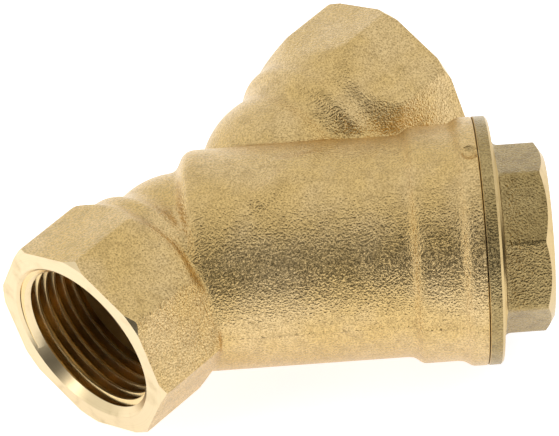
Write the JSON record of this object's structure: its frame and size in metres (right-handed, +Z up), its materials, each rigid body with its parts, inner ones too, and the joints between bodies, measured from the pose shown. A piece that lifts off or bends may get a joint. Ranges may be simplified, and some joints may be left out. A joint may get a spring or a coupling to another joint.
{
  "type": "y strainer",
  "caption": "Brass Y strainer for G 3/4 pipe: octagonal female sockets in line, a 45 degree screen chamber, an octagonal screwed cap and a pull-out perforated screen.",
  "frame": {"origin": "on the surface that the strainer lies on, under the middle of its box", "axes": "+X along the run from inlet to outlet, the branch points to +X -Y at 45 degrees, +Z up, at right angles to the plane of both axes"},
  "size_m": [0.072, 0.0668, 0.0385],
  "materials": {
    "body": "sand blasted forging",
    "cap": "sand blasted, turned flange edge",
    "cap_gasket": "pressed fibre",
    "strainer_screen": "perforated sheet"
  },
  "bodies": {
    "housing": {"body": "body"},
    "screen": {"strainer_screen": "strainer_screen"},
    "seal": {"cap_gasket": "cap_gasket"},
    "plug": {"cap": "cap"}
  },
  "joints": [
    {"name": "screen_draw", "type": "slide", "parent": "housing", "child": "screen", "axis": [0.7071, -0.7071, 0], "range_m": [0, 0.045]},
    {"name": "cap_advance", "type": "slide", "parent": "screen", "child": "seal", "axis": [0.7071, -0.7071, 0], "range_m": [0, 0.009]},
    {"name": "cap_turn", "type": "hinge", "parent": "seal", "child": "plug", "pos_m": [0.02156, -0.01913, 0.01925], "axis": [0.7071, -0.7071, 0], "range_deg": [0, 2160]}
  ],
  "couplings": [
    {"joint": "cap_advance", "follows": "cap_turn", "m_per_rad": 0.00023873}
  ]
}
